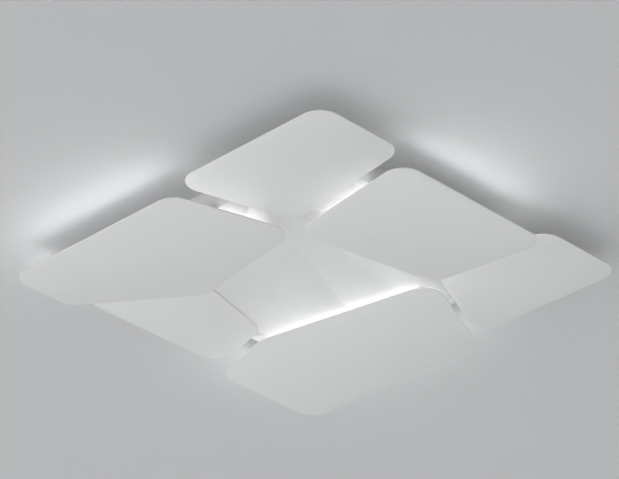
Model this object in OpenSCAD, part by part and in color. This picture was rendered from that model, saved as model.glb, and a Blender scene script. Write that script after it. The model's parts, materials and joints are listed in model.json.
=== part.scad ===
// Flat square ceiling light in millimetres. A shallow steel canopy hides the ceiling rails,
// the driver and the wiring. Three lacquered plates lie right under its face, and three more
// hang one step lower on light boxes that shine out sideways under the plates' edges.
// The ceiling is at z = 0, everything hangs below it, and the front side faces -Y.

/* [Plates] */
// Side of the square that the six plates fill
outline_w = 800; // [760:10:900]
// Thickness of the plates
plate_t = 2; // [1.5:0.5:3]
// Radius of the plates' corners
plate_corner_r = 40; // [20:2:44]
// Step from the upper plates down to the lower ones
level_step = 24; // [20:1:32]
// Where the border of the two front plates meets the front side, right of the middle
front_split = 30; // [15:1:45]
// Where the front border of the right plate meets the right side, from the middle
right_split_front = 197; // [185:1:210]
// Where the back border of the right plate meets the right side, from the middle
right_split_back = 191.5; // [180:0.5:205]
// Where the border of the two back plates meets the back side, right of the middle
back_split = 48; // [35:1:60]
// Where the back border of the left plate meets the left side, from the middle
left_split_back = 143; // [130:1:155]
// Where the front border of the left plate meets the left side, from the middle
left_split_front = 254; // [240:1:265]

/* [Canopy] */
// Side of the square canopy
canopy_w = 560; // [550:5:600]
// Height of the canopy, from the ceiling to its face
canopy_h = 48.8; // [46:0.1:60]
// Sheet of the canopy
canopy_t = 1.2; // [1:0.1:1.6]
// Radius of the canopy's upright corners
canopy_corner_r = 6; // [3:1:12]

/* [Light boxes] */
// From a lower plate's edge in to the face of its opal covers
box_inset = 40; // [36:1:46]
// Radius of the trays' folded corners
tray_corner_r = 4; // [3:1:6]
// Sheet of the light boxes' trays
tray_t = 1; // [0.8:0.1:1.5]
// Sheet of the light boxes' lids
lid_t = 1.2; // [1:0.1:1.6]
// Wall of the opal covers
cover_t = 1.5; // [1:0.1:2]
// Depth of the lips along the opal covers' long edges
cover_lip = 3.5; // [2.5:0.5:4.5]
// Space between an opal cover and the wall that carries the light strip
cavity_w = 8; // [6:0.5:10]
// Width of the light strips
strip_w = 8; // [6:1:10]
// Distance from one diode to the next
led_pitch = 16; // [12:1:24]

/* [Ceiling rails] */
// Width of a rail
rail_w = 40; // [34:1:50]
// Sheet of the rails
rail_t = 2; // [1.5:0.1:3]
// Distance between the middles of the two rails
rail_spacing = 300; // [290:5:320]
// Height of the lips along a rail
rail_lip = 8; // [5:1:12]
// Height of the tab at each end of a rail
tab_h = 30; // [26:1:36]
// From the ceiling down to the side screws
side_screw_drop = 18; // [14:1:22]
// Distance between the two ceiling slots of a rail
slot_spacing = 240; // [200:5:280]
// Length of a ceiling slot
slot_l = 20; // [14:1:26]
// Width of a ceiling slot
slot_w = 6; // [5:0.5:8]

/* [Driver] */
// Length of the driver's case
driver_l = 190; // [180:5:196]
// Width of the driver's case
driver_w = 60; // [56:1:66]
// Height of the driver's case
driver_h = 28; // [24:1:32]
// Wall of the driver's case
driver_t = 1.5; // [1.2:0.1:2]

/* [Terminal block] */
// Distance between two poles
pole_pitch = 8; // [7.5:0.5:9]
// Depth of the block along the wires
term_d = 22; // [20:1:26]
// Height of the block
term_h = 14; // [13:0.5:18]
// Radius of the holes for the supply wires
supply_bore_r = 1.9; // [1.5:0.1:2.2]
// Wall between two lever slots
lever_wall = 1.6; // [1.4:0.1:2]
// From a lever's pivot to its tip
lever_l = 16.5; // [15:0.5:18]

/* [Wires] */
// Diameter of the low-voltage leads
lead_d = 4; // [3:0.2:5]
// Diameter of the single mains wires
wire_d = 2.2; // [1.8:0.1:2.6]

/* [Hidden] */
$fn = 48;

// Reach of a cut past the sheet that it goes through
over = 1;

// Longest facet of a round corner, and the fewest facets that it has
facet_l = 2;
facets_least = 6;

// Heights, all at or below the ceiling
z_floor = -canopy_h + canopy_t;
z_face = -canopy_h;
z_lid_under = z_face - lid_t;
z_lower_top = z_face - level_step;
tray_h = level_step - lid_t;
z_strip_mid = z_lower_top + tray_h / 2;

// Corners of the six plates, each list running anticlockwise seen from above
half = outline_w / 2;
corner_front = [97, -153];
corner_back = [151.5, 159];
corner_left_front = [-187, -104];
corner_left_back = [-241, 95];
split_front = [front_split, -half];
split_back = [back_split, half];
split_right_front = [half, -right_split_front];
split_right_back = [half, right_split_back];
split_left_front = [-half, -left_split_front];
split_left_back = [-half, left_split_back];
front_right = [split_front, [half, -half], split_right_front, corner_front];
back_right = [split_right_back, [half, half], split_back, corner_back];
left = [corner_left_front, corner_left_back, split_left_back, split_left_front];
front_left = [[-half, -half], split_front, corner_front, corner_left_front, split_left_front];
right = [corner_front, split_right_front, split_right_back, corner_back];
back_left = [corner_back, split_back, [-half, half], split_left_back, corner_left_back];

// M4 and M3 fastener sizes
m4_r = 1.95;
m4_thread_r = 2;
m4_hole_r = 2.25;
m4_head_r = 4;
m4_head_h = 2.6;
m4_socket_r = 1.45;
m4_socket_depth = 1.3;
m4_nut_flats = 7;
m4_nut_h = 4.2;
m4_flange_r = 5;
m4_flange_h = 1;
m3_r = 1.45;
m3_thread_r = 1.5;
m3_hole_r = 1.7;
m3_nut_flats = 5.5;
m3_nut_h = 2.4;
m3_sink_r = 2.95;
sink_play = 0.05;

// Weld studs of the upper plates, kept near the canopy's edge and the plates' inner corners. The
// left plate is narrow at its back end, so its back stud keeps its share of the width there.
stud_in = 20;
stud_edge = canopy_w / 2 - stud_in;
studs_front_right = [
  [front_split + 65, -stud_edge], [stud_edge, -stud_edge],
  [stud_edge, -right_split_front - 8], corner_front + [23, -34]];
studs_back_right = [
  [stud_edge, stud_edge], [corner_back[0] - 20, stud_edge],
  [stud_edge, right_split_back + 14], corner_back + [21, 31]];
left_stud_y = corner_left_back[1] - 20;
left_stud_share = 0.565;
left_border = corner_left_front + (corner_left_back - corner_left_front)
  * (left_stud_y - corner_left_front[1]) / (corner_left_back[1] - corner_left_front[1]);
left_stud_x = left_border[0] * (1 - left_stud_share) - (canopy_w / 2 - canopy_t) * left_stud_share;
studs_left = [
  [left_stud_x, left_stud_y], [-stud_edge, corner_left_front[1] - 26],
  corner_left_front + [-28, 34]];
upper_studs = concat(studs_front_right, studs_back_right, studs_left);
upper_stud_h = 10;
lower_stud_inset = 68;
lower_stud_h = 7;

// Screws that hold the light boxes up to the canopy
screw_in = 25;
screw_edge = canopy_w / 2 - screw_in;
box_screw_points = [
  [[-screw_edge, -screw_edge], [front_split - 30, -screw_edge],
    corner_front + [-87, -52], corner_left_front + [-3, -86]],
  [[screw_edge, 87 - right_split_front], corner_front + [83, 58],
    [screw_edge, right_split_back - 86], corner_back + [54, -69]],
  [[-screw_edge, screw_edge], [back_split - 8, screw_edge],
    corner_back + [-101, 53], corner_left_back + [1, 75]]];
box_screw_l = 10;
clinch_shank_r = 2.7;
clinch_head_r = 3.9;
clinch_head_h = 3;
clinch_play = 0.05;

// Light boxes: outlines, trays, lugs for the lid screws and light strips
box_plans = [front_left, right, back_left];
tray_inset = box_inset + cover_t + cavity_w;
lug_in = 7;
lug_r = 7.5;
lid_screw_l = 6;
strip_t = 0.4;
glue_t = 0.05;
strip_back = tray_inset - glue_t;
strip_face = strip_back - strip_t;
strip_end = 6;
chip_l = 3.5;
chip_w = 2.8;
chip_t = 0.7;
chip_margin = 12;
cover_play = 0.2;
mitre_play = 0.15;

// Where each lead drops into its box, which way it leaves it, and through which side's wall
feed_points = [[-90, -200], [215, 0], [-80, 200]];
feed_ways = [[0, 1], [-1, 0], [0, -1]];
feed_sides = [2, 3, 4];
lead_r = lead_d / 2;
feed_play = 0.4;
feed_stop = 0.6;
grommet_hole_r = 6;
grommet_lip_r = 8;
grommet_lip_h = 1.2;
grommet_play = 0.05;
lead_play = 0.1;

// Driver and its fixing lugs
driver_y = 88;
driver_lug_l = 14;
driver_lug_w = 18;
driver_lug_in = driver_lug_w / 2;
driver_studs = [
  [driver_l / 2 + driver_lug_l / 2, driver_y - driver_w / 2 + driver_lug_in],
  [-driver_l / 2 - driver_lug_l / 2, driver_y + driver_w / 2 - driver_lug_in]];
driver_gate_rise = 9;
driver_gate_z = z_floor + driver_gate_rise;
driver_cover_t = 1.2;
driver_play = 0.3;
board_t = 1.6;
board_gap = 3;
board_lift = 3.5;
post_r = 3;
post_in = 8;
board_head_r = 2.8;
board_head_h = 2;
block_in = 16;
lead_block = [8, 32, 10];
wire_block = [8, 18, 10];
transformer = [34, 30, 15];
coil_x = 50;
coil_r = 10;
coil_bore_r = 4.5;
coil_h = 9;
can_x = 42;
can_y = 9;
can_r = 7;
can_h = 16;
rim_h = 4;
rim_t = 1;

// Terminal block, its levers and the cord clamp in front of it
term_x = -60;
term_y = -22;
term_wall = 1;
term_w = 3 * pole_pitch + 2 * term_wall;
term_top = z_floor + term_h;
term_ear_w = 8;
term_ear_t = 2;
term_wire_rise = 5;
term_wire_z = z_floor + term_wire_rise;
term_bore_d = 9;
lever_play = 0.2;
lever_w = pole_pitch - lever_wall - 2 * lever_play;
lever_arm_t = 2.2;
lever_hub_r = 1.8;
lever_pin_r = 1;
lever_pin_play = 0.06;
lever_pin_skin = 0.25;
lever_pin_reach = lever_wall / 2 - lever_pin_skin;
lever_pin_stop = 0.1;
lever_pivot_in = 5;
lever_pivot_y = term_y + lever_pivot_in;
lever_pivot_drop = 2;
lever_pivot_z = term_top - lever_pivot_drop;
lever_slot_below = 2.2;
lever_slot_floor = lever_pivot_z - lever_slot_below;
lever_slot_behind = 3;
lever_slot_back = lever_pivot_y + lever_slot_behind;
wire_play = 0.05;
clamp_pocket_w = 4.2;
clamp_pocket_l = 12;
clamp_pocket_z = term_wire_z + wire_d / 2 + wire_play;
clamp_t = 1;
clamp_play = 0.1;
cord_ahead = 36;
cord_y = term_y - cord_ahead;
cord_r = 4;
cord_strap_w = 10;
cord_strap_t = 2;
cord_foot_l = 9;
m3_studs = [
  [term_x - term_w / 2 - term_ear_w / 2, term_y], [term_x + term_w / 2 + term_ear_w / 2, term_y],
  [term_x - cord_r - cord_strap_t - cord_foot_l / 2, cord_y],
  [term_x + cord_r + cord_strap_t + cord_foot_l / 2, cord_y]];
m3_stud_h = 6.5;

// Earth point
earth_point = [-110, -30];
earth_washer_t = 0.8;
earth_washer_r = 4;
ring_r = 4.5;
ring_t = 0.8;
ring_barrel_r = 1.9;
ring_barrel_l = 8;
ring_barrel_in = 7;
ring_barrel_y = earth_point[1] + ring_barrel_in;
ring_barrel_z = z_floor + earth_washer_t + ring_barrel_r;
ring_neck_w = 2.6;
pan_stud_h = 10;

// Wires: bend radii, running heights and the points that each route turns at. The lists for the
// mains wires go earth, neutral, live, and the earth wire doesn't run to the driver
wire_r = wire_d / 2;
bend_steps = 5;
tube_sides = 10;
wire_bend_r = 5;
wire_grip = 7;
wire_leave = [13, 17, 25];
wire_column = [31, 23];
column_rise = 26;
lead_bend_r = 5;
clip_base = 1;
clip_l = 8;
clip_w = 12;
clip_top = 1.2;
z_run = z_floor + clip_base + lead_r;
z_hump = z_floor + grommet_lip_h + lead_bend_r;
gate_x = driver_l / 2;
gate_in = 6;
wire_end_play = 0.3;
wire_end_x = gate_x - block_in + wire_end_play;
lead_gate_pitch = 10;
wire_gate_pitch = 8;
lead_gate_y = [driver_y - lead_gate_pitch, driver_y, driver_y + lead_gate_pitch];
wire_gate_y = [driver_y + wire_gate_pitch / 2, driver_y - wire_gate_pitch / 2];
lead_routes = [
  [[118, driver_y - 26], [118, -60], [20, -150], [-66, -200]],
  [[150, driver_y - 28], [188, 0]],
  [[125, driver_y + 37], [60, 165], [-56, 200]]];
lead_turn_x = [108, 122, 112];
hump_run = 10;

function unit(v) = v / norm(v);
function at(p, i) = p[(i + len(p)) % len(p)];
function side_dir(p, i) = unit(at(p, i + 1) - at(p, i));
function inward(d) = [-d[1], d[0]];
function meet(a, u, b, v) = a + u * ((b - a) * [v[1], -v[0]]) / (u * [v[1], -v[0]]);
function inset_corner(p, d, i) =
  let (u = side_dir(p, i - 1), v = side_dir(p, i))
  meet(at(p, i) + inward(u) * d, u, at(p, i) + inward(v) * d, v);
function inset(p, d) = [for (i = [0 : len(p) - 1]) inset_corner(p, d, i)];
function raise(p, z) = [for (q = p) [q[0], q[1], z]];

// Points of a route with its corners rounded
function turn(u, v) = acos(max(-1, min(1, u * v)));
function bend(p, i, r) =
  let (
    u = unit(p[i] - p[i - 1]),
    v = unit(p[i + 1] - p[i]),
    w = turn(u, v),
    c = p[i] + unit(v - u) * r / cos(w / 2),
    a = p[i] - u * r * tan(w / 2) - c,
    b = p[i] + v * r * tan(w / 2) - c)
  [for (k = [0 : bend_steps])
    c + (a * sin(w * (1 - k / bend_steps)) + b * sin(w * k / bend_steps)) / sin(w)];
function route(p, r) =
  concat([p[0]], [for (i = [1 : len(p) - 2]) each bend(p, i, r)], [p[len(p) - 1]]);
function tangent(q, i) = unit(q[min(i + 1, len(q) - 1)] - q[max(i - 1, 0)]);
function normals(q, i, n) =
  i == len(q) ? [] :
  let (t = tangent(q, i), m = unit(n - t * (n * t)))
  concat([m], normals(q, i + 1, m));

// Where a box's lead reaches the outer face of the tray wall that it leaves through
function feed_exit(b) =
  meet(feed_points[b], feed_ways[b], at(inset(box_plans[b], tray_inset), feed_sides[b]),
    side_dir(box_plans[b], feed_sides[b]));

// Whole route of one lead: from the terminals in the driver, over the canopy's floor, down the
// grommet and to the strip
function lead_path(b) =
  let (
    run = raise(lead_routes[b], z_run),
    last = lead_routes[b][len(lead_routes[b]) - 1],
    f = feed_points[b],
    way = unit(f - last),
    end = feed_exit(b) - feed_ways[b] * feed_stop)
  concat(
    [[wire_end_x, lead_gate_y[b], driver_gate_z], [lead_turn_x[b], lead_gate_y[b], driver_gate_z]],
    run,
    [[f[0] - way[0] * hump_run, f[1] - way[1] * hump_run, z_hump], [f[0], f[1], z_hump],
      [f[0], f[1], z_strip_mid], [end[0], end[1], z_strip_mid]]);

// Flat outline with round corners, each an arc between the points where it leaves the two sides
function corner_arc(p, i, r) =
  let (
    c = inset_corner(p, r, i),
    u = inward(side_dir(p, i - 1)) * -r,
    v = inward(side_dir(p, i)) * -r,
    w = turn(unit(u), unit(v)),
    n = max(facets_least, ceil(PI * r * w / 180 / facet_l)))
  [for (k = [0 : n]) c + (u * sin(w * (1 - k / n)) + v * sin(w * k / n)) / sin(w)];
module outline(p, r) { polygon([for (i = [0 : len(p) - 1]) each corner_arc(p, i, r)]); }

// One flat bar along each side of an outline, between two insets, with its ends drawn back
module side_bars(p, from, to, trim) {
  o = inset(p, from);
  n = inset(p, to);
  for (i = [0 : len(p) - 1]) {
    d = side_dir(p, i) * trim;
    polygon([o[i] + d, at(o, i + 1) - d, at(n, i + 1) - d, n[i] + d]);
  }
}

// Upright cutters or studs at a list of plan points
module posts(points, z, h, r) {
  for (q = points) translate([q[0], q[1], z]) cylinder(h = h, r = r);
}

module tube(q, r) {
  n = normals(q, 0, [0, 0, 1]);
  s = tube_sides;
  rings = len(q);
  points = [for (i = [0 : rings - 1]) for (k = [0 : s - 1])
    q[i] + r * (cos(360 * k / s) * n[i] + sin(360 * k / s) * cross(tangent(q, i), n[i]))];
  walls = [for (i = [0 : rings - 2]) for (k = [0 : s - 1])
    let (a = i * s + k, b = i * s + (k + 1) % s)
    each [[a, a + s, b + s], [a, b + s, b]]];
  polyhedron(points, concat(walls, [[for (k = [0 : s - 1]) k]],
    [[for (k = [s - 1 : -1 : 0]) (rings - 1) * s + k]]));
}

// Flange nut, its bore clear of the stud in it
module flange_nut() {
  difference() {
    union() {
      cylinder(h = m4_flange_h, r = m4_flange_r);
      cylinder(h = m4_nut_h, r = m4_nut_flats / sqrt(3), $fn = 6);
    }
    translate([0, 0, -over]) cylinder(h = m4_nut_h + 2 * over, r = m4_thread_r);
  }
}

module small_nut() {
  difference() {
    cylinder(h = m3_nut_h, r = m3_nut_flats / sqrt(3), $fn = 6);
    translate([0, 0, -over]) cylinder(h = m3_nut_h + 2 * over, r = m3_thread_r);
  }
}

// Pan-head screw with a hexagon socket, its seat at z = 0 and its shank below
module pan_screw(length) {
  translate([0, 0, -length]) cylinder(h = length + over, r = m4_r);
  difference() {
    cylinder(h = m4_head_h, r = m4_head_r);
    translate([0, 0, m4_head_h - m4_socket_depth])
      cylinder(h = m4_socket_depth + over, r = m4_socket_r, $fn = 6);
  }
}

// Ceiling rails
rail_play = 0.3;
rail_l = canopy_w - 2 * canopy_t - 2 * rail_play;
rail_lip_l = rail_l - 2 * tab_h;

module rail(x) {
  color("gainsboro") difference() {
    union() {
      translate([x - rail_w / 2, -rail_l / 2, -rail_t]) cube([rail_w, rail_l, rail_t]);
      for (y = [-rail_l / 2, rail_l / 2 - rail_t])
        translate([x - rail_w / 2, y, -tab_h]) cube([rail_w, rail_t, tab_h]);
      for (side = [x - rail_w / 2, x + rail_w / 2 - rail_t])
        translate([side, -rail_lip_l / 2, -rail_lip]) cube([rail_t, rail_lip_l, rail_lip]);
    }
    for (y = [-slot_spacing / 2, slot_spacing / 2]) translate([x, y, -rail_t - over]) {
      translate([-(slot_l - slot_w) / 2, -slot_w / 2, 0])
        cube([slot_l - slot_w, slot_w, rail_t + 2 * over]);
      for (e = [-1, 1]) translate([e * (slot_l - slot_w) / 2, 0, 0])
        cylinder(h = rail_t + 2 * over, r = slot_w / 2);
    }
    translate([x, rail_l / 2 + over, -side_screw_drop]) rotate([90, 0, 0])
      cylinder(h = rail_l + 2 * over, r = m4_thread_r);
  }
}
module rail_left() { rail(-rail_spacing / 2); }
module rail_right() { rail(rail_spacing / 2); }

side_screw_l = 8;
module side_screws() {
  color("silver") for (x = [-1, 1]) for (y = [-1, 1])
    translate([x * rail_spacing / 2, y * canopy_w / 2, -side_screw_drop])
      rotate([-90 * y, 0, 0]) pan_screw(side_screw_l);
}

// Canopy: a folded steel pan, open to the ceiling, with weld studs on its floor
module canopy_square(inset_by, r) {
  s = canopy_w / 2;
  outline(inset([[-s, -s], [s, -s], [s, s], [-s, s]], inset_by), r);
}

module canopy_pan() {
  color("white") difference() {
    union() {
      difference() {
        translate([0, 0, z_face]) linear_extrude(canopy_h) canopy_square(0, canopy_corner_r);
        translate([0, 0, z_floor]) linear_extrude(canopy_h)
          canopy_square(canopy_t, canopy_corner_r - canopy_t);
      }
      posts(driver_studs, z_face + canopy_t / 2, pan_stud_h, m4_r);
      posts([earth_point], z_face + canopy_t / 2, pan_stud_h, m4_r);
      posts(m3_studs, z_face + canopy_t / 2, m3_stud_h, m3_r);
    }
    posts(upper_studs, z_face - over, canopy_t + 2 * over, m4_hole_r);
    for (b = box_screw_points) posts(b, z_face - over, canopy_t + 2 * over, m4_hole_r);
    posts(feed_points, z_face - over, canopy_t + 2 * over, grommet_hole_r);
    for (x = [-1, 1]) translate([x * rail_spacing / 2, canopy_w / 2 + over, -side_screw_drop])
      rotate([90, 0, 0]) cylinder(h = canopy_w + 2 * over, r = m4_hole_r);
  }
}

// Plates with their weld studs
module plate(plan, z, studs, stud_h) {
  color("white") {
    translate([0, 0, z]) linear_extrude(plate_t) outline(plan, plate_corner_r);
    posts(studs, z + plate_t / 2, plate_t / 2 + stud_h, m4_r);
  }
}
module upper_plate_front_right() {
  plate(front_right, z_face - plate_t, studs_front_right, upper_stud_h);
}
module upper_plate_back_right() {
  plate(back_right, z_face - plate_t, studs_back_right, upper_stud_h);
}
module upper_plate_left() { plate(left, z_face - plate_t, studs_left, upper_stud_h); }

module lower_plate(b) {
  plan = box_plans[b];
  plate(plan, z_lower_top - plate_t, inset(plan, lower_stud_inset), lower_stud_h);
}
module lower_plate_front_left() { lower_plate(0); }
module lower_plate_right() { lower_plate(1); }
module lower_plate_back_left() { lower_plate(2); }

module pan_nuts() {
  color("silver") {
    for (q = upper_studs) translate([q[0], q[1], z_floor]) flange_nut();
    for (q = driver_studs) translate([q[0], q[1], z_floor + driver_t]) flange_nut();
    translate([earth_point[0], earth_point[1], z_floor + earth_washer_t + ring_t]) flange_nut();
  }
}

module tray_nuts() {
  color("silver") for (p = box_plans) for (q = inset(p, lower_stud_inset))
    translate([q[0], q[1], z_lower_top + tray_t]) flange_nut();
}

// Light boxes: an open folded tray on each lower plate
module light_tray(b) {
  plan = box_plans[b];
  lugs = inset(plan, tray_inset + lug_in);
  exit = feed_exit(b);
  way = feed_ways[b];
  color("whitesmoke") translate([0, 0, z_lower_top]) difference() {
    union() {
      difference() {
        linear_extrude(tray_h) outline(inset(plan, tray_inset), tray_corner_r);
        translate([0, 0, tray_t]) linear_extrude(tray_h)
          outline(inset(plan, tray_inset + tray_t), tray_corner_r - tray_t);
      }
      intersection() {
        posts(lugs, tray_h - tray_t, tray_t, lug_r);
        linear_extrude(tray_h) outline(inset(plan, tray_inset + tray_t / 2), tray_corner_r);
      }
    }
    posts(lugs, tray_h - tray_t - over, tray_t + 2 * over, m3_thread_r);
    posts(inset(plan, lower_stud_inset), -over, tray_t + 2 * over, m4_hole_r);
    translate([exit[0] - way[0] * cavity_w, exit[1] - way[1] * cavity_w, tray_h / 2])
      rotate([0, 90, atan2(way[1], way[0])])
      cylinder(h = cavity_w + tray_t + over, r = lead_r + feed_play);
  }
}
module light_tray_front_left() { light_tray(0); }
module light_tray_right() { light_tray(1); }
module light_tray_back_left() { light_tray(2); }

// Flat lid over a tray and its covers, cut with sharp corners
module box_lid(b) {
  plan = box_plans[b];
  color("whitesmoke") translate([0, 0, z_lid_under]) difference() {
    linear_extrude(lid_t) polygon(inset(plan, box_inset));
    posts(box_screw_points[b], -over, lid_t + 2 * over, clinch_shank_r);
    posts([feed_points[b]], -over, lid_t + 2 * over, grommet_hole_r);
    posts(inset(plan, tray_inset + lug_in), -over, lid_t + 2 * over, m3_hole_r);
    for (q = inset(plan, tray_inset + lug_in)) translate([q[0], q[1], 0])
      cylinder(h = lid_t, r1 = m3_hole_r, r2 = m3_sink_r + sink_play);
  }
}
module box_lid_front_left() { box_lid(0); }
module box_lid_right() { box_lid(1); }
module box_lid_back_left() { box_lid(2); }

// Countersunk screws from each lid into its tray's lugs
module lid_screws() {
  color("silver") for (p = box_plans) for (q = inset(p, tray_inset + lug_in))
    translate([q[0], q[1], z_lid_under]) {
      cylinder(h = lid_t, r1 = m3_r, r2 = m3_sink_r);
      translate([0, 0, lid_t - lid_screw_l]) cylinder(h = lid_screw_l - lid_t / 2, r = m3_r);
    }
}

// Nuts pressed into the lids
module clinch_nuts() {
  color("silver") for (b = box_screw_points) for (q = b)
    translate([q[0], q[1], z_lid_under]) difference() {
      union() {
        translate([0, 0, -clinch_head_h]) cylinder(h = clinch_head_h, r = clinch_head_r);
        translate([0, 0, -clinch_head_h])
          cylinder(h = clinch_head_h + lid_t, r = clinch_shank_r - clinch_play);
      }
      translate([0, 0, -clinch_head_h - over])
        cylinder(h = clinch_head_h + lid_t + 2 * over, r = m4_thread_r);
    }
}

module box_screws() {
  color("silver") for (b = box_screw_points) for (q = b)
    translate([q[0], q[1], z_floor]) pan_screw(box_screw_l);
}

// Light strips glued round the outside of each tray, and their diodes
module led_strip(b) {
  color("ivory") translate([0, 0, z_strip_mid - strip_w / 2])
    linear_extrude(strip_w) side_bars(box_plans[b], strip_face, strip_back, strip_end);
}
module led_strip_front_left() { led_strip(0); }
module led_strip_right() { led_strip(1); }
module led_strip_back_left() { led_strip(2); }

module led_chips(b) {
  plan = inset(box_plans[b], strip_face);
  color("lightyellow") for (i = [0 : len(plan) - 1]) {
    d = side_dir(plan, i);
    long = norm(at(plan, i + 1) - plan[i]);
    count = floor((long - 2 * chip_margin) / led_pitch);
    for (k = [0 : count])
      translate(concat(plan[i] + d * ((long - count * led_pitch) / 2 + k * led_pitch), z_strip_mid))
        rotate([0, 0, atan2(d[1], d[0])])
        translate([-chip_l / 2, -chip_t, -chip_w / 2]) cube([chip_l, chip_t, chip_w]);
  }
}
module led_chips_front_left() { led_chips(0); }
module led_chips_right() { led_chips(1); }
module led_chips_back_left() { led_chips(2); }

// Opal covers: one mitred channel along each side, held between the plate and the lid
module opal_cover(b) {
  plan = box_plans[b];
  cover_h = tray_h - cover_play;
  color("white") translate([0, 0, z_lower_top]) difference() {
    linear_extrude(cover_h) side_bars(plan, box_inset, box_inset + cover_lip, mitre_play);
    translate([0, 0, cover_t]) linear_extrude(cover_h - 2 * cover_t)
      side_bars(plan, box_inset + cover_t, box_inset + cover_lip + over, 0);
  }
}
module opal_cover_front_left() { opal_cover(0); }
module opal_cover_right() { opal_cover(1); }
module opal_cover_back_left() { opal_cover(2); }

// Low-voltage leads from the driver to the boxes
module lead(b) { color("dimgray") tube(route(lead_path(b), lead_bend_r), lead_r); }
module lead_front_left() { lead(0); }
module lead_right() { lead(1); }
module lead_back_left() { lead(2); }

// Rubber grommets through the canopy's floor and the lids
module lead_grommets() {
  color("black") for (q = feed_points) translate([q[0], q[1], z_lid_under]) difference() {
    union() {
      translate([0, 0, -grommet_lip_h]) cylinder(h = grommet_lip_h, r = grommet_lip_r);
      cylinder(h = lid_t + canopy_t, r = grommet_hole_r - grommet_play);
      translate([0, 0, lid_t + canopy_t]) cylinder(h = grommet_lip_h, r = grommet_lip_r);
    }
    translate([0, 0, -grommet_lip_h - over])
      cylinder(h = lid_t + canopy_t + 2 * grommet_lip_h + 2 * over, r = lead_r + lead_play);
  }
}

// Clips that hold the leads down, one at the middle of each straight run
module lead_clips() {
  color("white") for (p = lead_routes) for (i = [0 : len(p) - 2]) {
    d = p[i + 1] - p[i];
    middle = (p[i] + p[i + 1]) / 2;
    translate([middle[0], middle[1], z_floor]) rotate([0, 0, atan2(d[1], d[0])]) difference() {
      translate([-clip_l / 2, -clip_w / 2, 0]) cube([clip_l, clip_w, clip_base + lead_d + clip_top]);
      translate([-clip_l, 0, clip_base + lead_r]) rotate([0, 90, 0])
        cylinder(h = 2 * clip_l, r = lead_r + lead_play);
    }
  }
}

// Driver: a folded case on two weld studs, with its board and cover
module driver_gates() {
  for (y = lead_gate_y) translate([gate_x - gate_in, y, driver_gate_z])
    rotate([0, 90, 0]) cylinder(h = 2 * gate_in, r = lead_r + feed_play);
  for (y = wire_gate_y) translate([-gate_x - gate_in, y, driver_gate_z])
    rotate([0, 90, 0]) cylinder(h = 2 * gate_in, r = wire_r + feed_play);
}

driver_base_h = driver_h - driver_cover_t;
post_points = [for (x = [-1, 1]) for (y = [-1, 1])
  [x * (driver_l / 2 - post_in), driver_y + y * (driver_w / 2 - post_in)]];

module driver_base() {
  color("lightgray") difference() {
    union() {
      difference() {
        translate([-driver_l / 2, driver_y - driver_w / 2, z_floor])
          cube([driver_l, driver_w, driver_base_h]);
        translate([-driver_l / 2 + driver_t, driver_y - driver_w / 2 + driver_t, z_floor + driver_t])
          cube([driver_l - 2 * driver_t, driver_w - 2 * driver_t, driver_h]);
      }
      for (q = driver_studs) translate([
        q[0] - driver_lug_l / 2 - (q[0] > 0 ? driver_t / 2 : 0), q[1] - driver_lug_w / 2, z_floor])
        cube([driver_lug_l + driver_t / 2, driver_lug_w, driver_t]);
      posts(post_points, z_floor + driver_t / 2, driver_t / 2 + board_lift, post_r);
    }
    posts(driver_studs, z_floor - over, driver_t + 2 * over, m4_hole_r);
    driver_gates();
    posts(post_points, z_floor + driver_t, board_lift + over, m3_thread_r);
  }
}

board_z = z_floor + driver_t + board_lift;
module driver_board() {
  color("darkgreen") difference() {
    translate([-driver_l / 2 + board_gap, driver_y - driver_w / 2 + board_gap, board_z])
      cube([driver_l - 2 * board_gap, driver_w - 2 * board_gap, board_t]);
    posts(post_points, board_z - over, board_t + 2 * over, m3_hole_r);
  }
}

module board_screws() {
  color("silver") for (q = post_points) translate([q[0], q[1], board_z + board_t]) {
    cylinder(h = board_head_h, r = board_head_r);
    translate([0, 0, -board_t - board_lift]) cylinder(h = board_t + board_lift + over, r = m3_r);
  }
}

// Transformer, coil, two cans and the terminals at both ends, standing on the board
module driver_parts() {
  top = board_z + board_t;
  lead_block_x = driver_l / 2 - block_in - lead_block[0];
  color("goldenrod") {
    translate([-transformer[0] / 2, driver_y - transformer[1] / 2, top]) cube(transformer);
    translate([-coil_x, driver_y, top]) difference() {
      cylinder(h = coil_h, r = coil_r);
      translate([0, 0, -over]) cylinder(h = coil_h + 2 * over, r = coil_bore_r);
    }
    for (y = [-1, 1]) translate([can_x, driver_y + y * can_y, top]) cylinder(h = can_h, r = can_r);
    translate([lead_block_x, driver_y - lead_block[1] / 2, top]) cube(lead_block);
    translate([-driver_l / 2 + block_in, driver_y - wire_block[1] / 2, top]) cube(wire_block);
  }
}

// Snap-on cover with a rim inside the case's walls
module driver_cover() {
  top = z_floor + driver_base_h;
  rim_in = driver_t + driver_play;
  rim = [driver_l - 2 * rim_in, driver_w - 2 * rim_in];
  color("gainsboro") {
    translate([-driver_l / 2, driver_y - driver_w / 2, top]) cube([driver_l, driver_w, driver_cover_t]);
    difference() {
      translate([-rim[0] / 2, driver_y - rim[1] / 2, top - rim_h])
        cube([rim[0], rim[1], rim_h + driver_cover_t / 2]);
      translate([-rim[0] / 2 + rim_t, driver_y - rim[1] / 2 + rim_t, top - rim_h - over])
        cube([rim[0] - 2 * rim_t, rim[1] - 2 * rim_t, rim_h + over]);
    }
  }
}

// Terminal block: supply wires enter at the front, the light's own wires leave at the back
function pole_x(pole) = term_x + (pole - 1) * pole_pitch;
lever_slot_w = lever_w + 2 * lever_play;
term_front = term_y - term_d / 2;
term_back = term_y + term_d / 2;

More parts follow.
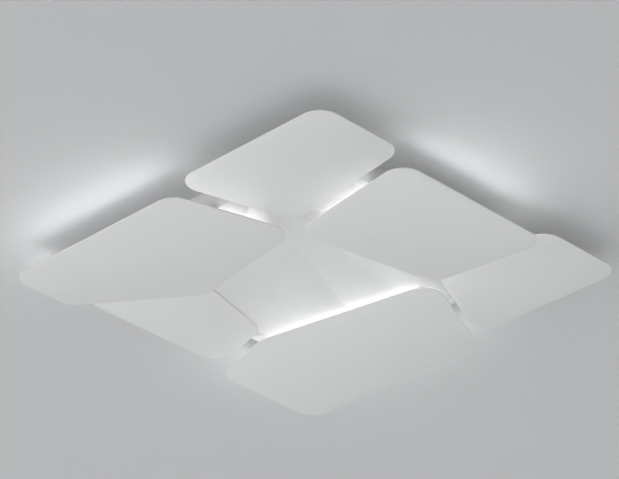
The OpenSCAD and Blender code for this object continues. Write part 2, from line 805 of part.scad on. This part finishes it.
module pole_cuts(pole) {
  translate([pole_x(pole), term_front - over, term_wire_z]) rotate([-90, 0, 0])
    cylinder(h = term_bore_d + over, r = supply_bore_r);
  translate([pole_x(pole), term_back + over, term_wire_z]) rotate([90, 0, 0])
    cylinder(h = term_bore_d + over, r = wire_r + lever_play);
  translate([pole_x(pole) - lever_slot_w / 2, term_front - over, lever_slot_floor])
    cube([lever_slot_w, lever_slot_back - term_front + over, term_h]);
  translate([pole_x(pole), lever_pivot_y, lever_pivot_z]) rotate([0, 90, 0])
    cylinder(h = lever_slot_w + 2 * (lever_pin_reach + lever_pin_stop),
      r = lever_pin_r + lever_pin_play, center = true);
  translate([pole_x(pole) - clamp_pocket_w / 2, term_y - clamp_pocket_l / 2, clamp_pocket_z])
    cube([clamp_pocket_w, clamp_pocket_l, lever_slot_floor - clamp_pocket_z + over]);
}

module terminal_block() {
  color("whitesmoke") difference() {
    union() {
      translate([term_x - term_w / 2, term_front, z_floor]) cube([term_w, term_d, term_h]);
      translate([term_x - term_w / 2 - term_ear_w, term_y - term_ear_w / 2, z_floor])
        cube([term_w + 2 * term_ear_w, term_ear_w, term_ear_t]);
    }
    posts([m3_studs[0], m3_studs[1]], z_floor - over, term_ear_t + 2 * over, m3_hole_r);
    for (pole = [0 : 2]) pole_cuts(pole);
  }
}

// Clamps, one under each lever: a bar over the ends of both wires, with an upright at its front
module terminal_clamps() {
  w = clamp_pocket_w - 2 * clamp_play;
  long = clamp_pocket_l - 2 * clamp_play;
  tall = lever_slot_floor - clamp_pocket_z - 2 * lever_play;
  color("goldenrod") for (pole = [0 : 2])
    translate([pole_x(pole) - w / 2, term_y - long / 2, clamp_pocket_z]) {
      cube([w, long, clamp_t]);
      cube([w, clamp_t, tall]);
    }
}

module lever(pole) {
  color("darkorange") translate([pole_x(pole), lever_pivot_y, lever_pivot_z]) {
    rotate([0, 90, 0]) cylinder(h = lever_w, r = lever_hub_r, center = true);
    rotate([0, 90, 0])
      cylinder(h = lever_slot_w + 2 * lever_pin_reach, r = lever_pin_r, center = true);
    translate([-lever_w / 2, -lever_l, 0]) cube([lever_w, lever_l, lever_arm_t]);
  }
}
module lever_earth() { lever(0); }
module lever_neutral() { lever(1); }
module lever_live() { lever(2); }

module small_nuts() {
  color("silver") for (i = [0 : len(m3_studs) - 1])
    translate([m3_studs[i][0], m3_studs[i][1], z_floor + (i < 2 ? term_ear_t : cord_strap_t)])
      small_nut();
}

// Strap that grips the supply cable in front of the terminal block
module cord_clamp() {
  outer_r = cord_r + cord_strap_t;
  foot = outer_r + cord_foot_l;
  color("whitesmoke") translate([term_x, cord_y - cord_strap_w / 2, z_floor]) difference() {
    union() {
      translate([-foot, 0, 0]) cube([2 * foot, cord_strap_w, cord_strap_t]);
      translate([-outer_r, 0, 0]) cube([2 * outer_r, cord_strap_w, cord_r]);
      translate([0, 0, cord_r]) rotate([-90, 0, 0]) cylinder(h = cord_strap_w, r = outer_r);
    }
    translate([-foot, -over, -2 * outer_r])
      cube([2 * foot, cord_strap_w + 2 * over, 2 * outer_r]);
    translate([-cord_r, -over, -over]) cube([2 * cord_r, cord_strap_w + 2 * over, cord_r + over]);
    translate([0, -over, cord_r]) rotate([-90, 0, 0])
      cylinder(h = cord_strap_w + 2 * over, r = cord_r);
    for (i = [2, 3]) translate([m3_studs[i][0] - term_x, cord_strap_w / 2, -over])
      cylinder(h = cord_strap_t + 2 * over, r = m3_hole_r);
  }
}

// Mains wires from the block to the terminals in the driver, and the earth wire to its stud
function mains_path(pole) =
  let (
    x = -gate_x - wire_column[pole - 1],
    y = term_back + wire_leave[pole],
    gate_y = wire_gate_y[pole - 1])
  [[pole_x(pole), term_back - wire_grip, term_wire_z],
    [pole_x(pole), y, term_wire_z],
    [x, y + column_rise, term_wire_z],
    [x, gate_y, driver_gate_z],
    [-wire_end_x, gate_y, driver_gate_z]];
earth_path = [
  [pole_x(0), term_back - wire_grip, term_wire_z],
  [pole_x(0), term_back + wire_leave[0], term_wire_z],
  [earth_point[0], term_back + wire_leave[0], ring_barrel_z],
  [earth_point[0], ring_barrel_y + wire_grip / 2, ring_barrel_z]];

module wire_live() { color("saddlebrown") tube(route(mains_path(2), wire_bend_r), wire_r); }
module wire_neutral() { color("royalblue") tube(route(mains_path(1), wire_bend_r), wire_r); }
module wire_earth() { color("yellowgreen") tube(route(earth_path, wire_bend_r), wire_r); }

module ring_terminal() {
  color("silver") translate([earth_point[0], earth_point[1], z_floor + earth_washer_t])
    difference() {
      union() {
        cylinder(h = ring_t, r = ring_r);
        translate([-ring_neck_w / 2, 0, 0])
          cube([ring_neck_w, ring_barrel_y + over - earth_point[1], ring_t]);
        translate([0, ring_barrel_y - earth_point[1], ring_barrel_r]) rotate([-90, 0, 0])
          cylinder(h = ring_barrel_l, r = ring_barrel_r);
      }
      translate([0, 0, -over]) cylinder(h = ring_t + 2 * over, r = m4_hole_r);
      translate([0, ring_barrel_y - earth_point[1] - over, ring_barrel_r]) rotate([-90, 0, 0])
        cylinder(h = ring_barrel_l + 2 * over, r = wire_r + wire_play);
    }
}

module earth_washer() {
  color("silver") translate([earth_point[0], earth_point[1], z_floor]) difference() {
    cylinder(h = earth_washer_t, r = earth_washer_r);
    translate([0, 0, -over]) cylinder(h = earth_washer_t + 2 * over, r = m4_hole_r);
  }
}

rail_left();
rail_right();
side_screws();
canopy_pan();
upper_plate_front_right();
upper_plate_back_right();
upper_plate_left();
pan_nuts();
lower_plate_front_left();
lower_plate_right();
lower_plate_back_left();
tray_nuts();
light_tray_front_left();
light_tray_right();
light_tray_back_left();
box_lid_front_left();
box_lid_right();
box_lid_back_left();
lid_screws();
clinch_nuts();
box_screws();
led_strip_front_left();
led_strip_right();
led_strip_back_left();
led_chips_front_left();
led_chips_right();
led_chips_back_left();
opal_cover_front_left();
opal_cover_right();
opal_cover_back_left();
lead_front_left();
lead_right();
lead_back_left();
lead_grommets();
lead_clips();
driver_base();
driver_board();
board_screws();
driver_parts();
driver_cover();
terminal_block();
terminal_clamps();
lever_earth();
lever_neutral();
lever_live();
small_nuts();
cord_clamp();
wire_live();
wire_neutral();
wire_earth();
ring_terminal();
earth_washer();
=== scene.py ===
import json
import math
import bpy
from mathutils import Matrix, Vector

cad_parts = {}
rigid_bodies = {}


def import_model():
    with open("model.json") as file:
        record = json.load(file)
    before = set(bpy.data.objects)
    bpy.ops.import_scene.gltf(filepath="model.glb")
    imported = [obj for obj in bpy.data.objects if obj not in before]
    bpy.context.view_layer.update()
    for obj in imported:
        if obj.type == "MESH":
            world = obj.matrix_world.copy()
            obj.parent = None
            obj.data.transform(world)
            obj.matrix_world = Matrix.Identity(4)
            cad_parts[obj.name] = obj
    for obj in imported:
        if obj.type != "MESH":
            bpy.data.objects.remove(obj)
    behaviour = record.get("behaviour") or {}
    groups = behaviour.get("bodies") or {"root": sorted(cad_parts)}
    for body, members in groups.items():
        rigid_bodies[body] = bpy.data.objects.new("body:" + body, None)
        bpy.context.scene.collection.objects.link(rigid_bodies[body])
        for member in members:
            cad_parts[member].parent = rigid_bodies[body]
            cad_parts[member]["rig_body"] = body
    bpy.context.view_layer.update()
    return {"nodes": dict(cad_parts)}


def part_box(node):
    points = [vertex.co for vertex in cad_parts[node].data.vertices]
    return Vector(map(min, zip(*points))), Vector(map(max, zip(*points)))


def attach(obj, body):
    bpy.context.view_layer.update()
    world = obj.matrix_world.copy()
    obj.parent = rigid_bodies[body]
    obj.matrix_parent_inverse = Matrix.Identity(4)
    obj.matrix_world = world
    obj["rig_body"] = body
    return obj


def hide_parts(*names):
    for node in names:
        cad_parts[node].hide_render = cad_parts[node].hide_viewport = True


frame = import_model()
scene = bpy.context.scene

# Camera: a long lens below the ceiling, looking up at the light from its near right corner.
# It stands where the straight edges of the plates in the photograph put it.
image_width = 619
focal_pixels = 3205.8
sensor_width = 36
farthest_seen = 100
camera_place = Vector((3.6059, -3.7146, -2.9870))
yaw, pitch, roll = math.radians(-44.283), math.radians(30.092), math.radians(0.062)
forward = Vector((math.sin(yaw) * math.cos(pitch),
                  math.cos(yaw) * math.cos(pitch),
                  math.sin(pitch)))
level_right = Vector((math.cos(yaw), -math.sin(yaw), 0))
level_up = level_right.cross(forward)
right = level_right * math.cos(roll) + level_up * math.sin(roll)
up = level_up * math.cos(roll) - level_right * math.sin(roll)
turned = Matrix((right, up, -forward)).transposed().to_4x4()
camera = bpy.data.objects.new("camera", bpy.data.cameras.new("camera"))
scene.collection.objects.link(camera)
camera.matrix_world = Matrix.Translation(camera_place) @ turned
camera.data.sensor_width = sensor_width
camera.data.lens = sensor_width * focal_pixels / image_width
camera.data.clip_end = farthest_seen
scene.camera = camera

# Ceiling: a plain painted ceiling that the light hangs on, seen from below only. From above it
# lets the eye and the lamps through, and it has a hole within the canopy's walls, so that the open
# back can be looked at. The camera sees it at a flatter level than that at which it lights.
ceiling_size = 30
ceiling_gap = 0.0004
ceiling_tint = (0.99, 1.0, 1.01)
ceiling_bounce = 0.72
ceiling_seen = 0.45
ceiling_lift = 0.12
ceiling_gloss = 0.1
matt = 0.9
hole_half = 0.278
bpy.ops.object.select_all(action="DESELECT")
bpy.ops.mesh.primitive_plane_add(size=ceiling_size, location=(0, 0, ceiling_gap))
ceiling = bpy.context.object
ceiling.name = "ceiling"
bpy.ops.object.mode_set(mode="EDIT")
bpy.ops.mesh.select_all(action="SELECT")
bpy.ops.mesh.flip_normals()
bpy.ops.mesh.inset(thickness=ceiling_size / 2 - hole_half)
bpy.ops.mesh.delete(type="FACE")
bpy.ops.object.mode_set(mode="OBJECT")
ceiling.visible_shadow = False


def blank(name):
    """A new material, with its node tree and its shader."""
    made = bpy.data.materials.new(name)
    made.use_nodes = True
    return made, made.node_tree, made.node_tree.nodes["Principled BSDF"]


def feed(tree, source, socket):
    """Fills a socket from another node's output, or with a plain number or colour."""
    if isinstance(source, bpy.types.NodeSocket):
        tree.links.new(source, socket)
    else:
        socket.default_value = source


def maths(tree, operation, *sources):
    """What a maths node makes of other nodes' outputs and plain numbers."""
    node = tree.nodes.new("ShaderNodeMath")
    node.operation = operation
    for source, socket in zip(sources, node.inputs):
        feed(tree, source, socket)
    return node.outputs[0]


def scaled(tree, colour, factor):
    """A colour, brighter or darker by a factor."""
    node = tree.nodes.new("ShaderNodeVectorMath")
    node.operation = "SCALE"
    feed(tree, colour, node.inputs[0])
    feed(tree, factor, node.inputs["Scale"])
    return node.outputs[0]


def ranged(tree, value, low, high, start=0, end=1):
    """A value that runs from start to end, made to run from low to high."""
    node = tree.nodes.new("ShaderNodeMapRange")
    for name, source in (("Value", value), ("From Min", start), ("From Max", end),
                         ("To Min", low), ("To Max", high)):
        feed(tree, source, node.inputs[name])
    return node.outputs[0]


def looked_at(tree):
    """A mask of 1 for what the camera sees, also in gloss or glass, and 0 for what only lights."""
    ray = tree.nodes.new("ShaderNodeLightPath")
    mask = ray.outputs["Is Camera Ray"]
    for kind in ("Is Glossy Ray", "Is Transmission Ray"):
        mask = maths(tree, "MAXIMUM", mask, ray.outputs[kind])
    return mask


ceiling_paint, tree, shader = blank("ceiling_paint")
shader.inputs["Roughness"].default_value = matt
shader.inputs["Specular IOR Level"].default_value = ceiling_gloss
shader.inputs["Emission Strength"].default_value = 1
seen = looked_at(tree)
for name, unseen_level, seen_level in (("Base Color", ceiling_bounce, ceiling_seen),
                                       ("Emission Color", 0, ceiling_lift)):
    level = ranged(tree, seen, unseen_level, seen_level)
    feed(tree, scaled(tree, ceiling_tint, level), shader.inputs[name])
side = tree.nodes.new("ShaderNodeNewGeometry")
clear = tree.nodes.new("ShaderNodeBsdfTransparent")
one_sided = tree.nodes.new("ShaderNodeMixShader")
feed(tree, side.outputs["Backfacing"], one_sided.inputs[0])
feed(tree, shader.outputs[0], one_sided.inputs[1])
feed(tree, clear.outputs[0], one_sided.inputs[2])
feed(tree, one_sided.outputs[0], tree.nodes["Material Output"].inputs["Surface"])
ceiling.data.materials.append(ceiling_paint)

# Floor: a plain pale floor far below, matt like the ceiling. The camera sees it paler than it
# lights, so that it does not show grey in the views from above.
floor_drop = 3.4
floor_white = (0.75, 0.75, 0.75)
floor_lift = 0.3
bpy.ops.mesh.primitive_plane_add(size=ceiling_size, location=(0, 0, -floor_drop))
floor = bpy.context.object
floor.name = "floor"
floor_paint, tree, shader = blank("floor_paint")
shader.inputs["Base Color"].default_value = (*floor_white, 1)
shader.inputs["Roughness"].default_value = matt
shader.inputs["Emission Strength"].default_value = 1
feed(tree, maths(tree, "MULTIPLY", looked_at(tree), floor_lift), shader.inputs["Emission Color"])
floor.data.materials.append(floor_paint)

# Soft light: a wide lamp under the light for what faces down, a wide one over it for its open
# back, a window far off on the near left side, and an even pale surrounding.
cool_white = (0.985, 0.995, 1.0)
world_light = 0.9
world_pale = 0.8


def soft_lamp(name, size, place, turn, watts):
    """A wide square lamp that lights, but can't be seen itself or in a gloss."""
    lamp = bpy.data.lights.new(name, "AREA")
    lamp.shape = "SQUARE"
    lamp.size = size
    lamp.energy = watts
    lamp.color = cool_white
    holder = bpy.data.objects.new(name, lamp)
    holder.location = place
    holder.rotation_euler = turn
    scene.collection.objects.link(holder)
    holder.visible_camera = False
    holder.visible_glossy = False


soft_lamp("lamp_below", size=14, place=(-2.8, 1.6, -3.1), turn=(math.pi, 0, 0), watts=230)
soft_lamp("lamp_above", size=6, place=(0, 0, 3.0), turn=(0, 0, 0), watts=30)
soft_lamp("window", size=3, place=(-3.7, -8.6, -1.9),
          turn=(math.radians(98), 0, math.radians(-23)), watts=225)
world = bpy.data.worlds.new("pale_surrounding")
scene.world = world
world.use_nodes = True
tree = world.node_tree
sky = tree.nodes["Background"]
sky.inputs["Color"].default_value = (*cool_white, 1)
feed(tree, ranged(tree, looked_at(tree), world_light, world_pale), sky.inputs["Strength"])

# Ceiling rails: two galvanised steel channels screwed to the ceiling, with a tab turned down at
# each end for the side screws. Punched and folded from 2 mm sheet.
joined_within = 0.000002
flat_within = math.radians(0.3)
sharp_beyond = math.radians(30)
steps_round = 2


def joined_copy(node):
    """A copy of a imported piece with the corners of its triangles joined, open for editing."""
    bpy.ops.object.select_all(action="DESELECT")
    piece = bpy.data.objects.new("shaped_" + node, frame["nodes"][node].data.copy())
    scene.collection.objects.link(piece)
    bpy.context.view_layer.objects.active = piece
    piece.select_set(True)
    bpy.ops.object.mode_set(mode="EDIT")
    bpy.ops.mesh.select_all(action="SELECT")
    bpy.ops.mesh.remove_doubles(threshold=joined_within)
    return piece


def finished(piece, finish):
    """Gives a piece one finish, all over."""
    piece.data.materials.clear()
    piece.data.materials.append(finish)


def put_in_place(piece, node, finish):
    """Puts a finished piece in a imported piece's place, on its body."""
    packed = frame["nodes"][node]
    finished(piece, finish)
    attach(piece, packed["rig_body"])
    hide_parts(node)


def shaped(node, finish, radius):
    """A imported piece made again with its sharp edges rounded, in a finish."""
    piece = joined_copy(node)
    bpy.ops.mesh.dissolve_limited(angle_limit=flat_within)
    bpy.ops.object.mode_set(mode="OBJECT")
    bpy.ops.object.shade_smooth()
    rounding = piece.modifiers.new("rounding", "BEVEL")
    rounding.width = radius
    rounding.segments = steps_round
    rounding.limit_method = "ANGLE"
    rounding.angle_limit = sharp_beyond
    rounding.harden_normals = True
    bpy.ops.object.modifier_apply(modifier=rounding.name)
    put_in_place(piece, node, finish)


def surface_grain():
    """Node group: the fine unevenness of a finish, as a colour, a roughness and a normal."""
    fine_detail = 3
    broad_scale = 14
    relief_height = 0.0001
    group = bpy.data.node_groups.new("surface_grain", "ShaderNodeTree")
    for name, kind in (("Shade", "NodeSocketColor"), ("Size", "NodeSocketFloat"),
                       ("Mottling", "NodeSocketFloat"), ("Relief", "NodeSocketFloat"),
                       ("Roughness", "NodeSocketFloat")):
        group.interface.new_socket(name=name, in_out="INPUT", socket_type=kind)
    for name, kind in (("Color", "NodeSocketColor"), ("Roughness", "NodeSocketFloat"),
                       ("Normal", "NodeSocketVector")):
        group.interface.new_socket(name=name, in_out="OUTPUT", socket_type=kind)
    given = group.nodes.new("NodeGroupInput").outputs
    made = group.nodes.new("NodeGroupOutput").inputs
    place = group.nodes.new("ShaderNodeTexCoord")
    fine = group.nodes.new("ShaderNodeTexNoise")
    broad = group.nodes.new("ShaderNodeTexNoise")
    for noise in (fine, broad):
        feed(group, place.outputs["Object"], noise.inputs["Vector"])
    feed(group, given["Size"], fine.inputs["Scale"])
    fine.inputs["Detail"].default_value = fine_detail
    broad.inputs["Scale"].default_value = broad_scale
    both = maths(group, "ADD", fine.outputs["Fac"], broad.outputs["Fac"])
    centred = maths(group, "SUBTRACT", both, 1)
    uneven = maths(group, "MULTIPLY_ADD", centred, given["Mottling"], 1)
    relief = group.nodes.new("ShaderNodeBump")
    relief.inputs["Distance"].default_value = relief_height
    feed(group, given["Relief"], relief.inputs["Strength"])
    feed(group, fine.outputs["Fac"], relief.inputs["Height"])
    feed(group, scaled(group, given["Shade"], uneven), made["Color"])
    feed(group, maths(group, "MULTIPLY", given["Roughness"], uneven), made["Roughness"])
    feed(group, relief.outputs[0], made["Normal"])
    return group


grain = surface_grain()


def grained(name, shade, size, mottling, relief, roughness, metallic=0.0):
    """A material whose colour, roughness and normal come from the surface grain."""
    made, tree, shader = blank(name)
    shader.inputs["Metallic"].default_value = metallic
    texture = tree.nodes.new("ShaderNodeGroup")
    texture.node_tree = grain
    for socket, value in (("Shade", (*shade, 1)), ("Size", size), ("Mottling", mottling),
                          ("Relief", relief), ("Roughness", roughness)):
        texture.inputs[socket].default_value = value
    feed(tree, texture.outputs["Color"], shader.inputs["Base Color"])
    feed(tree, texture.outputs["Roughness"], shader.inputs["Roughness"])
    feed(tree, texture.outputs["Normal"], shader.inputs["Normal"])
    return made


def toned(made, value, stops, change="LINEAR"):
    """Colours a grained material by a value, through a ramp of stops."""
    tree = made.node_tree
    ramp = tree.nodes.new("ShaderNodeValToRGB")
    ramp.color_ramp.interpolation = change
    marks = ramp.color_ramp.elements
    marks.remove(marks[1])
    marks[0].position, marks[0].color = stops[0][0], (*stops[0][1], 1)
    for start, colour in stops[1:]:
        marks.new(start).color = (*colour, 1)
    feed(tree, value, ramp.inputs["Fac"])
    feed(tree, ramp.outputs["Color"], tree.nodes["Group"].inputs["Shade"])


def pattern(made, kind, scale, output="Fac"):
    """The value of a pattern over a piece, in a material."""
    tree = made.node_tree
    place = tree.nodes.new("ShaderNodeTexCoord")
    source = tree.nodes.new(kind)
    source.inputs["Scale"].default_value = scale
    feed(tree, place.outputs["Object"], source.inputs["Vector"])
    return source.outputs[output]


galvanised = grained("galvanised_steel", (0.62, 0.63, 0.65), size=260, mottling=0.12,
                     relief=0.1, roughness=0.40, metallic=1.0)
spangle = pattern(galvanised, "ShaderNodeTexVoronoi", scale=110, output="Color")
toned(galvanised, spangle, ((0.1, (0.52, 0.54, 0.56)), (0.9, (0.68, 0.69, 0.70))))
for node in ("rail_left", "rail_right"):
    shaped(node, galvanised, radius=0.0003)

# Side screws: four zinc-plated pan heads that draw the canopy onto the tabs of the rails. All
# the other screws and nuts of the light share their finish.
zinc = grained("zinc_plate", (0.66, 0.67, 0.69), size=400, mottling=0.12,
               relief=0.15, roughness=0.34, metallic=1.0)
bloom = pattern(zinc, "ShaderNodeTexNoise", scale=70)
toned(zinc, bloom, ((0.35, (0.58, 0.62, 0.68)), (0.65, (0.70, 0.69, 0.62))))
shaped("side_screws", zinc, radius=0.0004)

# Canopy: a pan folded from 1.2 mm steel sheet and lacquered in matt white, open to the ceiling.
# The side screws hold its walls to the rails.
canopy_lacquer = grained("canopy_lacquer", (0.74, 0.74, 0.74), size=1500, mottling=0.02,
                         relief=0.25, roughness=0.55)
shaped("canopy_pan", canopy_lacquer, radius=0.0006)

# Upper plates: three 2 mm plates in matt white lacquer, held up by weld studs through the
# canopy's floor and by flange nuts inside it.
plate_lacquer = grained("plate_lacquer", (0.73, 0.73, 0.73), size=1500, mottling=0.02,
                        relief=0.25, roughness=0.5)
for node in ("upper_plate_front_right", "upper_plate_back_right", "upper_plate_left"):
    shaped(node, plate_lacquer, radius=0.0004)
shaped("pan_nuts", zinc, radius=0.0002)

# Light boxes: three folded trays under flat lids, lacquered white inside and out, each held up
# to the canopy by screws into nuts pressed into its lid.
box_lacquer = grained("box_lacquer", (0.76, 0.76, 0.76), size=1200, mottling=0.02,
                      relief=0.2, roughness=0.5)
boxes = ("front_left", "right", "back_left")
for box in boxes:
    shaped("light_tray_" + box, box_lacquer, radius=0.0003)
    shaped("box_lid_" + box, box_lacquer, radius=0.0002)
for node in ("lid_screws", "clinch_nuts", "box_screws"):
    shaped(node, zinc, radius=0.0002)

# Light strips: white flexible boards glued round each tray, with a diode every 16 mm. They lie
# behind the opal covers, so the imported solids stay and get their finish.
strip_board = grained("strip_board", (0.80, 0.80, 0.78), size=900, mottling=0.03,
                      relief=0.1, roughness=0.45)
diode = grained("diode_silicone", (0.90, 0.78, 0.30), size=1200, mottling=0.05,
                relief=0.1, roughness=0.3)
for box in boxes:
    finished(frame["nodes"]["led_strip_" + box], strip_board)
    finished(frame["nodes"]["led_chips_" + box], diode)

# Opal covers: mitred channels of opal plastic round each light box, lit from behind. They shine
# out under the plates' edges, the outline's outer sides more than the inner ones. The outer are
# brighter towards their upper edge, the inner towards the plate.
cover_glow = 8.2
inner_share = 0.26
outer_slope = 0.75
inner_slope = -0.7
outer_side = 0.355
glow_cloud_size = 62
glow_clouding = 0.05
opal = grained("opal_plastic", (0.85, 0.85, 0.85), size=60, mottling=0.04,
               relief=0.02, roughness=0.35)


def axes(tree, coordinate="Object"):
    """The X, Y and Z of a place on a piece, or of another coordinate there."""
    place = tree.nodes.new("ShaderNodeTexCoord")
    parted = tree.nodes.new("ShaderNodeSeparateXYZ")
    feed(tree, place.outputs[coordinate], parted.inputs[0])
    return parted.outputs


tree = opal.node_tree
place = axes(tree)
sideways, lengthways = (maths(tree, "ABSOLUTE", place[axis]) for axis in ("X", "Y"))
further = maths(tree, "MAXIMUM", sideways, lengthways)
outer = maths(tree, "GREATER_THAN", further, outer_side)
share = ranged(tree, outer, inner_share, 1)
slope = ranged(tree, outer, inner_slope, outer_slope)
lowest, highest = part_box("opal_cover_right")
height = ranged(tree, place["Z"], -1, 1, start=lowest[2], end=highest[2])
band = maths(tree, "MULTIPLY_ADD", height, slope, 1)
level = maths(tree, "MULTIPLY", share, band)
clouded = tree.nodes.new("ShaderNodeGroup")
clouded.node_tree = grain
clouded.inputs["Size"].default_value = glow_cloud_size
clouded.inputs["Mottling"].default_value = glow_clouding
feed(tree, scaled(tree, cool_white, level), clouded.inputs["Shade"])
shader = tree.nodes["Principled BSDF"]
feed(tree, clouded.outputs["Color"], shader.inputs["Emission Color"])
shader.inputs["Emission Strength"].default_value = cover_glow
for box in boxes:
    shaped("opal_cover_" + box, opal, radius=0.0003)

# Lower plates: the same sheet and lacquer, each under its light box on weld studs that stand
# up through the tray's floor.
for box in boxes:
    shaped("lower_plate_" + box, plate_lacquer, radius=0.0004)
shaped("tray_nuts", zinc, radius=0.0002)


# Leads: stranded low-voltage leads in soft sheaths, from the driver to each light box. Nylon
# clips hold them down, and rubber grommets line the holes that they pass.
def smooth_tube(node, finish):
    """A packed wire made again with its flats smoothed round, in a finish."""
    piece = joined_copy(node)
    bpy.ops.mesh.tris_convert_to_quads()
    bpy.ops.object.mode_set(mode="OBJECT")
    rounding = piece.modifiers.new("rounding", "SUBSURF")
    rounding.levels = 1
    rounding.render_levels = 1
    bpy.ops.object.modifier_apply(modifier=rounding.name)
    bpy.ops.object.shade_smooth()
    put_in_place(piece, node, finish)


lead_sheath = grained("lead_sheath", (0.66, 0.66, 0.65), size=700, mottling=0.04,
                      relief=0.2, roughness=0.5)
for box in boxes:
    smooth_tube("lead_" + box, lead_sheath)
grommet_rubber = grained("grommet_rubber", (0.03, 0.03, 0.03), size=500, mottling=0.2,
                         relief=0.3, roughness=0.7)
shaped("lead_grommets", grommet_rubber, radius=0.0004)
nylon = grained("natural_nylon", (0.78, 0.78, 0.74), size=600, mottling=0.04,
                relief=0.15, roughness=0.42)
shaped("lead_clips", nylon, radius=0.0004)

# Driver: a folded and enamelled case with a snap-on cover, on two weld studs. Its board, with a
# transformer, a coil and two cans, stands on four posts inside.
board_half_length = 0.1
terminal_green, coil_copper = (0.08, 0.30, 0.14), (0.60, 0.27, 0.11)
tape_yellow, can_sleeve = (0.72, 0.50, 0.09), (0.03, 0.05, 0.13)
enamel = grained("driver_enamel", (0.60, 0.61, 0.62), size=900, mottling=0.04,
                 relief=0.2, roughness=0.45)
for node in ("driver_base", "driver_cover"):
    shaped(node, enamel, radius=0.0003)
solder_mask = grained("solder_mask", (0.02, 0.16, 0.06), size=300, mottling=0.15,
                      relief=0.1, roughness=0.35)
tracks = pattern(solder_mask, "ShaderNodeTexBrick", scale=70)
toned(solder_mask, tracks, ((0.0, (0.02, 0.14, 0.05)), (1.0, (0.06, 0.27, 0.10))))
finished(frame["nodes"]["driver_board"], solder_mask)
board_parts = grained("board_parts", (0.40, 0.33, 0.14), size=250, mottling=0.12,
                      relief=0.2, roughness=0.5)
tree = board_parts.node_tree
along = ranged(tree, axes(tree)["X"], 0, 1, start=-board_half_length, end=board_half_length)
toned(board_parts, along, ((0.0, terminal_green), (0.17, coil_copper), (0.36, tape_yellow),
                           (0.63, can_sleeve), (0.8, terminal_green)), change="CONSTANT")
finished(frame["nodes"]["driver_parts"], board_parts)
finished(frame["nodes"]["board_screws"], zinc)

# Terminal block: a moulded block with a brass clamp and an orange lever for each of its three
# poles. Each lever turns on its own pin.
moulding = grained("block_moulding", (0.70, 0.70, 0.68), size=700, mottling=0.03,
                   relief=0.15, roughness=0.4)
shaped("terminal_block", moulding, radius=0.0003)
brass = grained("clamp_brass", (0.75, 0.56, 0.22), size=500, mottling=0.1,
                relief=0.1, roughness=0.3, metallic=1.0)
tarnish = pattern(brass, "ShaderNodeTexNoise", scale=160)
toned(brass, tarnish, ((0.3, (0.60, 0.41, 0.15)), (0.7, (0.80, 0.62, 0.28))))
finished(frame["nodes"]["terminal_clamps"], brass)
lever_orange = grained("lever_moulding", (0.80, 0.22, 0.02), size=600, mottling=0.04,
                       relief=0.1, roughness=0.32)
for node in ("lever_earth", "lever_neutral", "lever_live"):
    shaped(node, lever_orange, radius=0.0002)
shaped("small_nuts", zinc, radius=0.0002)
shaped("cord_clamp", nylon, radius=0.0004)

# Mains wires: single insulated wires, brown and blue to the driver, and green and yellow to the
# earth stud, where a tinned ring and a washer lie under the nut.
insulation = {}
for wire, name, shade in (("live", "brown_insulation", (0.16, 0.06, 0.02)),
                          ("neutral", "blue_insulation", (0.02, 0.10, 0.45)),
                          ("earth", "green_yellow_insulation", (0.25, 0.48, 0.04))):
    insulation[wire] = grained(name, shade, size=700, mottling=0.06, relief=0.15, roughness=0.4)
facing = axes(insulation["earth"].node_tree, "Normal")["Z"]
toned(insulation["earth"], facing, ((0.0, (0.03, 0.26, 0.05)), (0.35, (0.80, 0.66, 0.04))),
      change="CONSTANT")
for wire in insulation:
    smooth_tube("wire_" + wire, insulation[wire])
tinned_copper = grained("tinned_copper", (0.72, 0.72, 0.70), size=500, mottling=0.1,
                        relief=0.1, roughness=0.3, metallic=1.0)
shaped("ring_terminal", tinned_copper, radius=0.0001)
shaped("earth_washer", zinc, radius=0.0001)

# Plain colour management.
scene.view_settings.view_transform = "Standard"
